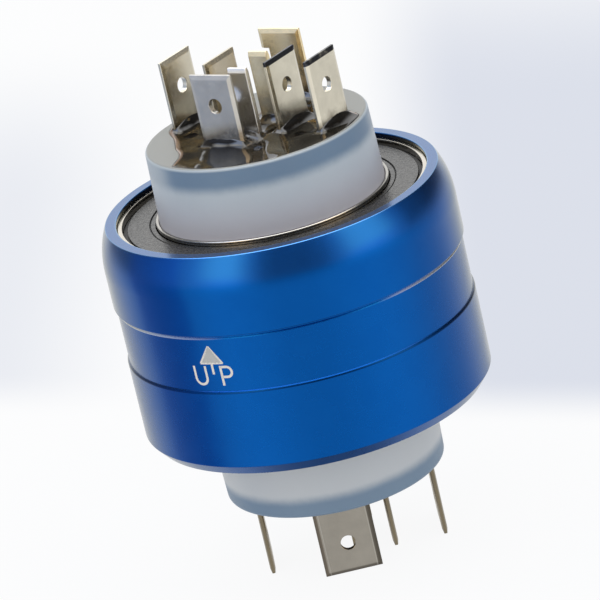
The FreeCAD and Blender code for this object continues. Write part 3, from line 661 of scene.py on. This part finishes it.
# Blades 7 and 8 get a painted dark reflection on their tip bevels
tip_shaded_tin = tin("tip_shaded_tin", TIN, tip=0.94)
upper_finishes = dict(enumerate([
    upper_tin, olive_shaded_tin, grey_shaded_tin, pale_lit_tin, warm_lit_tin, warm_lit_tin, tip_shaded_tin,
    tip_shaded_tin], 1))
front_blade = min(("lower_terminal_%d" % number for number in range(1, 9)),
                  key=lambda node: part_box(node)[0][1])
front_middle = (low(front_blade, ACROSS) + high(front_blade, ACROSS)) / 2
front_half = high(front_blade, ACROSS) - front_middle
lower_tin = tin("lower_tin", (0.36, 0.335, 0.29), lower_cap_face, -1, LOWER_STAIN, side=0.75,
                bands=(front_middle, *(front_half - width for width in BAND_WIDTHS)))
lower_brass = tin("lower_brass", (0.40, 0.335, 0.215), lower_cap_face, -1, LOWER_STAIN, side=0.5)

steel = ground_steel("bearing_steel", (0.50, 0.465, 0.40), (0.58, 0.545, 0.48))
# A darker copy of the bearing steel for the inner ring: painted shade
shaded_steel = ground_steel("inner_ring_shaded_steel", (0.31, 0.30, 0.27), (0.37, 0.355, 0.33))
rubber = seal_rubber()
finishes = {
    "housing": blue_satin,
    "terminal": lower_tin,
    "cap_plastic": lower_plastic(),
    "resin": dark_resin,
    "contact_metal": plated("contact_copper", (0.60, 0.30, 0.17), (0.72, 0.40, 0.25), 0.3),
    "stack_plastic": moulded("stack_plastic", (0.62, 0.58, 0.48), (0.70, 0.66, 0.56), 0.5),
    "bearing_steel": steel,
    "cage_plastic": moulded("cage_plastic", (0.52, 0.44, 0.28), (0.62, 0.54, 0.36), 0.45),
    "seal_grey": moulded("seal_grey", (0.16, 0.16, 0.15), (0.22, 0.22, 0.21), 0.55),
    "seal_rubber": rubber,
}
for entry in frame["record"]["subparts"]:
    shown = nodes[entry["node"]].data
    shown.materials.clear()
    shown.materials.append(finishes[entry["material_slot"]])


# Housing

def upper_shell():
    """Turned shell: straight wall, a broad shoulder arc, and a flat rim round the bearing.

    The shoulder's arc leaves the wall at a tangent and turns by the angle whose cosine is
    1 - drop / radius, so its corner lies radius tan(turn / 2) above its start."""
    edge = 0.12
    turn = math.acos(1 - (upper_band - rim_outer) / SHOULDER_RADIUS)
    corner = rim_top - edge - SHOULDER_RADIUS * (math.sin(turn) - math.tan(turn / 2))
    rim_corner = rim_outer - edge * math.tan(turn)
    skirt = spigot_radius + FIT
    ledge = spigot_top + 0.05
    return turned("upper_shell_skin", [
        (skirt, joint_height, 0.05), (upper_band, joint_height, JOINT_ROUND),
        (upper_band, corner, SHOULDER_RADIUS), (rim_corner, rim_top, edge),
        (rim_bore, rim_top, edge), (rim_bore, bearing_bottom, 0.04),
        (bearing_outer - CLAMP_LIP, bearing_bottom, 0.04),
        (bearing_outer - CLAMP_LIP, ledge, 0.04), (skirt, ledge, 0.04),
    ])


def lower_shell():
    """Turned cup: two bands with a ledge between them, a spigot, and its ring's groove."""
    foot_across, foot_up = FOOT_CHAMFER
    hole = lower_cap_radius + CAP_DRAFT + FIT
    floor_top = housing_bottom + FLOOR_THICKNESS
    groove = spigot_radius - O_RING + FIT
    middle = spigot_top - O_RING_BELOW - O_RING / 2
    reach = O_RING / 2 + FIT
    return turned("lower_shell_skin", [
        (hole, housing_bottom, 0.06), (lower_band - foot_across, housing_bottom, 0.12),
        (lower_band, housing_bottom + foot_up, 0.18),
        (lower_band, ledge_height - LOWER_STEP / math.tan(LEDGE_TILT), LEDGE_ROUND),
        (middle_band, ledge_height, 0.03),
        (middle_band, joint_height - JOINT_BELOW - JOINT_CHAMFER[1], 0.04),
        (middle_band - JOINT_CHAMFER[0], joint_height - JOINT_BELOW, 0.04),
        (middle_band - JOINT_CHAMFER[0], joint_height, 0.03), (spigot_radius, joint_height, 0.02),
        (spigot_radius, middle - reach, 0.03), (groove, middle - reach, 0.03),
        (groove, middle + reach, 0.03), (spigot_radius, middle + reach, 0.03),
        (spigot_radius, spigot_top, 0.08), (shell_bore, spigot_top, 0.08),
        (shell_bore, floor_top, 0.05), (hole, floor_top, 0.05),
    ])


dress(upper_shell(), "housing", "housing", blue_polished, "upper_shell")
dress(lower_shell(), "housing", "housing", blue_satin, "lower_shell")


# Marks on the middle band: an arrow, and two letters that say which way is up

MARK_DEPTH = 0.012
STROKE = 0.27
ARROW_AT = -10.72                # along the band from its front, to the left
ARROW = (32.50, 30.55, 29.30)    # heights of its tip, its base and its stem's end
ARROW_HALF = 1.35
ARROW_LINE = 0.19
LETTER_U = (-12.35, 0.70, 30.25, 28.15)          # middle, half width, top and bottom
LETTER_P = (-9.78, 1.22, 30.12, 28.98, 28.00)    # stem, width, bowl's top and bottom, foot


def on_band(name, along, up, columns=6):
    """Thin plate on the middle band, from the (left, right) edges of a strip.

    A distance s along the band is the angle s / radius from the front. The outer face lies
    just above the band's surface and the inner face just below it. Left and right are as
    seen by someone who walks along the strip with the band's outside up."""
    share = np.linspace(0, 1, columns + 1)[:, None]
    across = along[:, 0] + share * (along[:, 1] - along[:, 0])
    height = up[:, 0] + share * (up[:, 1] - up[:, 0])
    across, height = (np.vstack([side, side[::-1]]) for side in (across, height))
    lift = np.repeat([MARK_DEPTH, -MARK_DEPTH], columns + 1)[:, None]
    radius, angle = middle_band + lift, across / middle_band
    grid = np.stack([radius * np.sin(angle), -radius * np.cos(angle), height], -1)
    plate = surface(name, grid, poles=grid.mean(0)[[0, -1]])
    plate.data.shade_flat()
    return plate


def stroke(name, path, width=STROKE):
    """Line of even width about a path (along, up): each point spreads square to the path."""
    path = np.array(path, float)
    ahead = np.gradient(path, axis=0)
    ahead /= np.linalg.norm(ahead, axis=1, keepdims=True)
    aside = np.stack([-ahead[:, 1], ahead[:, 0]], 1) * width / 2
    left, right = path + aside, path - aside
    return on_band(name, np.stack([left[:, 0], right[:, 0]], 1),
                   np.stack([left[:, 1], right[:, 1]], 1))


def line(*ends, steps=8):
    """Evenly spaced points through the given ones."""
    ends = np.array(ends, float)
    share = np.linspace(0, len(ends) - 1, steps * (len(ends) - 1) + 1)
    return np.stack([np.interp(share, np.arange(len(ends)), ends[:, way]) for way in (0, 1)], 1)


def bend(centre, radius, first, last, steps=16):
    """Points on a circle, from one angle to another in degrees."""
    angle = np.radians(np.linspace(first, last, steps))
    return np.stack([centre[0] + radius * np.cos(angle), centre[1] + radius * np.sin(angle)], 1)


def mark_up():
    """The arrow, with its face and its outline, and the letters, as strokes on the band."""
    tip, base, stem_end = ARROW
    share = np.linspace(0.05, 1, 12)[:, None]
    head = on_band("arrow_face", ARROW_AT + np.array([[1, -1]]) * share * ARROW_HALF,
                   np.repeat(tip + share * (base - tip), 2, 1))
    dress(head, "housing", "housing", grey_mark)
    left, right = (ARROW_AT - ARROW_HALF, base), (ARROW_AT + ARROW_HALF, base)
    middle, half, top, bottom = LETTER_U
    bowl = bend((middle, bottom + half), half, 180, 360)
    stem_at, reach, high_line, waist, foot = LETTER_P
    nose = (high_line - waist) / 2
    strokes = {
        "arrow_left": (line((ARROW_AT, tip), left), ARROW_LINE),
        "arrow_base": (line(left, right), ARROW_LINE),
        "arrow_right": (line(right, (ARROW_AT, tip)), ARROW_LINE),
        "arrow_stem": (line((ARROW_AT, base), (ARROW_AT, stem_end)), STROKE),
        "letter_u": (np.vstack([line((middle - half, top), bowl[0])[:-1], bowl,
                                line(bowl[-1], (middle + half, top))[1:]]), STROKE),
        "letter_p_stem": (line((stem_at, foot), (stem_at, high_line + STROKE / 2)), STROKE),
        "letter_p_bowl": (np.vstack([
            line((stem_at, high_line), (stem_at + reach - nose, high_line))[:-1],
            bend((stem_at + reach - nose, (high_line + waist) / 2), nose, 90, -90),
            line((stem_at + reach - nose, waist), (stem_at, waist))[1:]]), STROKE),
    }
    for name, (path, width) in strokes.items():
        dress(stroke(name, path, width), "housing", "housing", cream_mark)


mark_up()


# Caps, and the resin round the blades

def pool_reach(angle):
    """Reach of the pool's edge in a direction: a smooth curve through the listed points.

    Between two points the reach is a cubic whose slope at each is the slope between the
    points on either side of it."""
    where, reach = POOL_EDGE[:, 0], POOL_EDGE[:, 1] * cap_radius
    where = np.concatenate([where[-2:] - 360, where, where[:3] + 360])
    reach = np.concatenate([reach[-2:], reach, reach[:3]])
    slope = np.gradient(reach, where)
    turn = np.degrees(angle) % 360
    at = np.searchsorted(where, turn, side="right") - 1
    span = where[at + 1] - where[at]
    share = (turn - where[at]) / span
    curve = ((2 * share ** 3 - 3 * share ** 2 + 1) * reach[at]
             + (share ** 3 - 2 * share ** 2 + share) * span * slope[at]
             + (3 * share ** 2 - 2 * share ** 3) * reach[at + 1]
             + (share ** 3 - share ** 2) * span * slope[at + 1])
    return np.minimum(curve, cap_radius - CAP_RIM_WALL)


def upper_cap(steps=360):
    """Cap of the rotor: a turned outside, and a pool whose edge follows its own curve.

    The outside's rings have the outline's radii; inside the rim the radius is the pool's
    reach in each direction, plus a small rounding. On the outside the point attribute
    "behind" follows the square of how nearly the pool reaches the rim, evened out over
    neighbouring directions by a bell."""
    angle = np.linspace(0, 2 * math.pi, steps, endpoint=False)[:, None]
    outside, outside_facing = rounded([
        (CORE, hub_bottom, 0.03), (flange_radius, hub_bottom, 0.1),
        (flange_radius, bearing_bottom, 0.1), (journal_radius, bearing_bottom, 0.03),
        (journal_radius, rim_top, 0.5), (cap_radius, cap_top, CAP_EDGE), (CORE, cap_top, 0.03),
    ])
    kept = outside[:, 0] > CORE + 0.1
    outside, outside_facing = outside[kept], outside_facing[kept]
    reach = pool_reach(angle)
    bow = np.linspace(0, math.pi / 2, 5)[None, :]
    level = np.ones_like(angle)
    radius = np.hstack([level * outside[:, 0], reach + POOL_LIP * (1 - np.sin(bow)), reach,
                        0 * reach + CORE])
    up = level * np.concatenate([outside[:, 1], cap_top - POOL_LIP * (1 - np.cos(bow[0])),
                                 [pool_floor, pool_floor]])
    facing_out = np.concatenate([outside_facing[:, 0], -np.sin(bow[0]), [-1.0, 0.0]])
    facing_up = np.concatenate([outside_facing[:, 1], np.cos(bow[0]), [0.0, 1.0]])
    grid = np.stack([radius * np.cos(angle), radius * np.sin(angle), up], -1)
    normals = np.stack([facing_out * np.cos(angle), facing_out * np.sin(angle),
                        level * facing_up], -1)
    poles = np.array([(0, 0, hub_bottom), (0, 0, pool_floor)])
    normals = np.vstack([normals.reshape(-1, 3), [(0, 0, -1), (0, 0, 1)]])
    piece = surface("upper_cap_moulding", grid, normals, poles=poles)
    wall = np.clip(1 - (cap_radius - CAP_RIM_WALL - reach[:, 0]) / SEEN_THROUGH, 0, 1) ** 2
    beside = 12
    bell = np.exp(-np.linspace(-3, 3, 2 * beside + 1) ** 2)
    even = np.convolve(np.concatenate([wall[-beside:], wall, wall[:beside]]), bell / bell.sum(),
                       "valid")
    behind = (even[:, None] * 0.7 + 0.3) * (radius > cap_radius - CAP_RIM_WALL)
    mark_points(piece, "behind", np.append(behind.reshape(-1), [0, 0]))
    return piece


def blades(end):
    """Centre, half width, half thickness and turn of each blade at one end.

    A blade of width w and thickness h, turned by t, has a box w |cos t| + h |sin t| wide."""
    found = []
    for number in range(1, 9):
        corner, far = (np.array(side)[:2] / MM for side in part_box("%s_terminal_%d" % (end, number)))
        across, deep = far - corner
        turn = math.radians(ROW_TURN[end])
        if deep < across:
            turn -= math.pi / 2
        if abs(math.cos(turn)) > 0.1:
            width = (across - BLADE_THICKNESS * abs(math.sin(turn))) / abs(math.cos(turn))
        else:
            width = deep
        found.append(((corner + far) / 2, width / 2, BLADE_THICKNESS / 2, turn))
    return found


def resin_pool(name, end, reach, level, bottom, way, steps=480, rings=110):
    """Resin in a cap, as a height over the plane in polar steps, closed below.

    Round each blade it creeps up by its rise times exp(-distance / spread), most at the
    blade's middle, against the wall by a little, and slow waves run over the rest. Distance
    is to the blade's rectangle. The point attribute "film" is
    exp(-(distance to wall / width) ** 4), where the wall isn't the cap's rim."""
    angle = np.linspace(0, 2 * math.pi, steps, endpoint=False)[:, None]
    share = np.linspace(0, 1, rings + 1)[None, 1:]
    edge = reach(angle) - FIT
    radius = edge * share
    x, y = radius * np.cos(angle), radius * np.sin(angle)
    lift = 0.035 * np.sin(0.9 * x + 1.3 * y) + 0.03 * np.sin(1.7 * x - 0.8 * y + 1.0)
    for centre, half_width, half_thickness, turn in blades(end):
        along = (x - centre[0]) * math.cos(turn) + (y - centre[1]) * math.sin(turn)
        aside = -(x - centre[0]) * math.sin(turn) + (y - centre[1]) * math.cos(turn)
        away = np.hypot(np.maximum(np.abs(along) - half_width, 0),
                        np.maximum(np.abs(aside) - half_thickness, 0))
        bow = np.clip(1 - 0.35 * (along / half_width) ** 2, 0.45, 1)
        lift += MENISCUS[0] * bow * np.exp(-away / MENISCUS[1])
    to_wall = edge - radius
    lift += (RESIN_BELOW - 0.02) * np.exp(-to_wall / WALL_CREEP)
    lift *= np.clip(to_wall / WALL_CREEP + 0.35, 0, 1)
    up = level + way * lift
    radius = np.hstack([radius, edge, edge * 0.5])
    heights = np.hstack([up, bottom + 0 * edge, bottom + 0 * edge])
    grid = np.stack([radius * np.cos(angle), radius * np.sin(angle), heights], -1)
    thin = reach(angle) < cap_radius - CAP_RIM_WALL - 0.1
    film = np.hstack([np.exp(-(to_wall / FILM_WIDTH) ** 4) * thin, 0 * edge, 0 * edge])
    if way > 0:
        grid, film = grid[::-1], film[::-1]
    poles = np.array([(0, 0, up[:, 0].mean()), (0, 0, bottom)])
    piece = surface(name, grid, poles=poles)
    mark_points(piece, "film", np.append(film.reshape(-1), [0, 0]))
    return piece


dress(upper_cap(), "rotor", "cap_plastic", upper_plastic, "upper_cap")
dress(resin_pool("upper_resin_pool", "upper", pool_reach, cap_top - RESIN_BELOW, pool_floor, 1),
      "rotor", "resin", dark_resin, "upper_resin")
dress(resin_pool("lower_resin_pool", "lower", lambda angle: lower_pool_radius + 0 * angle,
                 lower_cap_face + RESIN_BELOW, lower_pool_floor, -1),
      "housing", "resin", dark_resin, "lower_resin")


# Terminals and the bearing's faces

def terminals():
    """Softened blades; the points along the two long sides of the lower ones are marked."""
    for number, (centre, half_width, _, turn) in enumerate(blades("lower"), 1):
        softened("upper_terminal_%d" % number, BLADE_EDGE, "terminal", upper_finishes[number],
                 "rotor")
        node = "lower_terminal_%d" % number
        piece = softened(node, BLADE_EDGE, "terminal",
                         lower_tin if node == front_blade else lower_brass, "housing")
        points = np.empty(3 * len(piece.data.vertices))
        piece.data.vertices.foreach_get("co", points)
        offset = points.reshape(-1, 3)[:, :2] / MM - centre
        along = offset @ [math.cos(turn), math.sin(turn)]
        mark_points(piece, "side", np.abs(along) > half_width - 0.1)


terminals()

softened("upper_bearing_outer_ring", 0.07, "bearing_steel", steel, "housing")
softened("upper_bearing_inner_ring", 0.15, "bearing_steel", shaded_steel, "rotor")
softened("upper_bearing_top_seal", 0.05, "seal_rubber", rubber, "housing")


# Camera, matched to the photograph

AIM_HEIGHT = 28.6 * MM
DISTANCE = 507.3 * MM
ELEVATION = math.radians(19.97)
ROLL = math.radians(13.17)
SIDE_SHIFT = 0.387 * MM
UP_SHIFT = 0.695 * MM
SENSOR = 36.0
FOCAL_PIXELS = 4690.8
PICTURE = 600


def add_camera():
    """Camera that looks along +Y and down, rolled so that the part leans to the left."""
    forward = np.array([0, math.cos(ELEVATION), -math.sin(ELEVATION)])
    right = np.array([1.0, 0, 0])
    up = np.cross(right, forward)
    stand = -forward * DISTANCE + right * SIDE_SHIFT + up * UP_SHIFT
    stand[2] += AIM_HEIGHT
    camera_up = up * math.cos(ROLL) + right * math.sin(ROLL)
    camera_right = np.cross(forward, camera_up)
    data = bpy.data.cameras.new("camera")
    data.sensor_width = SENSOR
    data.lens = FOCAL_PIXELS * SENSOR / PICTURE
    data.clip_start = 10 * MM
    camera = bpy.data.objects.new("camera", data)
    pose = np.eye(4)
    pose[:3] = np.stack([camera_right, camera_up, -forward, stand], 1)
    camera.matrix_world = Matrix(pose.tolist())
    bpy.context.scene.collection.objects.link(camera)
    bpy.context.scene.camera = camera


add_camera()
bpy.context.scene.view_settings.view_transform = "Standard"


# Studio: a pale floor under an even sky; gloss shows soft boxes and dark walls

FLOOR_REACH = 3000.0
FLOOR_WHITE, FLOOR_LILAC_SHADE = (0.985, 0.988, 0.993), (0.72, 0.75, 0.83)
FLOOR_GLOW = 0.93                # share of the floor's look that no shadow reaches

# Where painted shade, tinted lilac, lies on the floor, in metres: behind the part, in a zone
# on the right and a fainter one on the left. Far grows towards the back right, and aside to
# the right.
FAR_PARTS = (0.228, 0.333)
ASIDE_SLOPE = 0.08
LILAC_BEHIND = (0.0125, 0.018)
RIGHT_ASIDE, RIGHT_FAR = (0.0, 0.018), (0.091, 0.055)
LEFT_ASIDE, LEFT_FAR, LEFT_SHARE = (-0.022, -0.048), (0.068, 0.040), 0.6


def add_floor():
    """Plane under the part: matt, and mostly shown by its own glow to the camera."""
    ends = (-FLOOR_REACH, FLOOR_REACH)
    grid = np.array([[[x, y, 0.0] for x in ends] for y in ends[::-1]])
    floor = surface("floor", grid, wrap_around=False)
    made = bpy.data.materials.new("floor")
    made.use_nodes = True
    tree = made.node_tree
    tree.nodes.remove(tree.nodes["Principled BSDF"])
    place = tree.nodes.new("ShaderNodeTexCoord").outputs["Object"]
    parts = add(tree, "ShaderNodeSeparateXYZ", {0: place}).outputs
    far = total(tree, [maths(tree, "MULTIPLY", parts[way], share)
                       for way, share in zip("XY", FAR_PARTS)])
    aside = maths(tree, "SUBTRACT", parts["X"], maths(tree, "MULTIPLY", parts["Y"], ASIDE_SLOPE))
    right = maths(tree, "MULTIPLY", ramp(tree, aside, *RIGHT_ASIDE), ramp(tree, far, *RIGHT_FAR))
    left = maths(tree, "MULTIPLY", ramp(tree, aside, *LEFT_ASIDE, 0.0, LEFT_SHARE),
                 ramp(tree, far, *LEFT_FAR))
    # Painted shade on the floor, tinted lilac
    lilac = maths(tree, "MULTIPLY", ramp(tree, far, *LILAC_BEHIND),
                  maths(tree, "MAXIMUM", right, left))
    tint = mixed(tree, lilac, FLOOR_WHITE, FLOOR_LILAC_SHADE)
    matt = add(tree, "ShaderNodeBsdfDiffuse", {"Color": tint}).outputs[0]
    glow = add(tree, "ShaderNodeEmission", {"Color": tint}).outputs[0]
    seen = tree.nodes.new("ShaderNodeLightPath").outputs["Is Camera Ray"]
    both = add(tree, "ShaderNodeMixShader", {
        0: maths(tree, "MULTIPLY", seen, FLOOR_GLOW), 1: matt, 2: glow}).outputs[0]
    tree.links.new(both, tree.nodes["Material Output"].inputs["Surface"])
    floor.data.materials.append(made)
    floor.visible_glossy = False


# Brightness of the studio by bearing in degrees, under the horizon and over it
BELOW = [
    (-180, 0.75), (-150, 0.80), (-130, 0.88), (-118, 0.80), (-113, 0.52), (-96, 0.46),
    (-84, 0.48), (-76, 0.54), (-70, 0.90), (-50, 1.05), (-30, 0.98), (-10, 0.86), (10, 0.86),
    (30, 0.95), (50, 1.03), (70, 0.97), (90, 0.80), (110, 0.75), (130, 0.87), (150, 0.80),
    (180, 0.75),
]
ABOVE = [
    (-180, 1.40), (-157, 1.35), (-142, 0.35), (-120, 0.35), (-100, 0.48), (-80, 0.68),
    (-60, 1.25), (-46, 1.75), (-36, 1.75), (-24, 0.90), (-15, 0.41), (12, 0.39), (24, 0.50),
    (34, 0.90), (44, 1.50), (56, 1.70), (66, 1.50), (78, 0.85), (90, 0.36),
    (114, 0.13), (138, 0.13), (144, 0.35), (157, 1.35), (180, 1.40),
]
BRIGHTEST = 2.0

# The studio's other parts: rises in degrees where its light changes, and its tints
HORIZON = (-13, 3)
UNDERFOOT, UNDERFOOT_SHARE = (-78, -55), 0.35
ROOF, ROOF_SHARE = (38, 54), 0.3
OVERHEAD, OVERHEAD_LIGHT = (46, 58), 4.6
COOL_BEARINGS, COOL = (-116, -74, 5), (0.76, 0.90, 1.22)
WARM_BEARINGS, WARM_RISE, WARM = ((-58, -28, 8), (38, 74, 8)), (4, 50, 4), (1.8, 1.42, 1.0)
SKY_TINT = (0.90, 0.91, 0.93)


def profile(tree, bearing, stops):
    """Brightness that changes evenly from one stop to the next."""
    node = add(tree, "ShaderNodeValToRGB", {0: maths(tree, "ADD", maths(
        tree, "DIVIDE", bearing, 360.0), 0.5)})
    elements = node.color_ramp.elements
    while len(elements) < len(stops):
        elements.new(1.0)
    for element, (angle, bright) in zip(elements, stops):
        element.position = angle / 360 + 0.5
        element.color = (bright / BRIGHTEST,) * 3 + (1.0,)
    return maths(tree, "MULTIPLY", node.outputs["Color"], BRIGHTEST)


def add_world():
    """Even light for matt surfaces, and for gloss a studio given by direction.

    Bearings are in degrees from the front (-Y), positive to the right (+X), and rises in
    degrees above the horizon. A soft box hangs overhead, and straight down it is dim."""
    world = bpy.data.worlds.new("world")
    bpy.context.scene.world = world
    world.use_nodes = True
    world.cycles.sampling_method = "NONE"
    tree = world.node_tree
    ray = tree.nodes.new("ShaderNodeTexCoord").outputs["Generated"]
    parts = add(tree, "ShaderNodeSeparateXYZ", {0: ray}).outputs
    front = maths(tree, "MULTIPLY", parts["Y"], -1.0)
    bearing = maths(tree, "MULTIPLY", maths(tree, "ARCTAN2", parts["X"], front), 180 / math.pi)
    rise = maths(tree, "MULTIPLY", maths(tree, "ARCSINE", parts["Z"]), 180 / math.pi)
    below = maths(tree, "MULTIPLY", profile(tree, bearing, BELOW),
                  ramp(tree, rise, *UNDERFOOT, UNDERFOOT_SHARE, 1.0))
    above = maths(tree, "MULTIPLY", profile(tree, bearing, ABOVE),
                  ramp(tree, rise, *ROOF, 1.0, ROOF_SHARE))
    sky = maths(tree, "ADD", above, ramp(tree, rise, *OVERHEAD, 0.0, OVERHEAD_LIGHT))
    studio = add(tree, "ShaderNodeMix", {
        0: ramp(tree, rise, *HORIZON), 2: below, 3: sky}).outputs[0]
    gloss = tree.nodes.new("ShaderNodeLightPath").outputs["Is Glossy Ray"]
    strength = add(tree, "ShaderNodeMix", {0: gloss, 2: 1.0, 3: studio}).outputs[0]
    cool = mixed(tree, window(tree, bearing, *COOL_BEARINGS), (1.0, 1.0, 1.0), COOL)
    boxes = maths(tree, "MAXIMUM", *(window(tree, bearing, *box) for box in WARM_BEARINGS))
    warm = mixed(tree, maths(tree, "MULTIPLY", boxes, window(tree, rise, *WARM_RISE)), cool, WARM)
    shade = mixed(tree, gloss, SKY_TINT, warm)
    tree.links.new(shade, tree.nodes["Background"].inputs["Color"])
    tree.links.new(strength, tree.nodes["Background"].inputs["Strength"])


add_floor()
add_world()
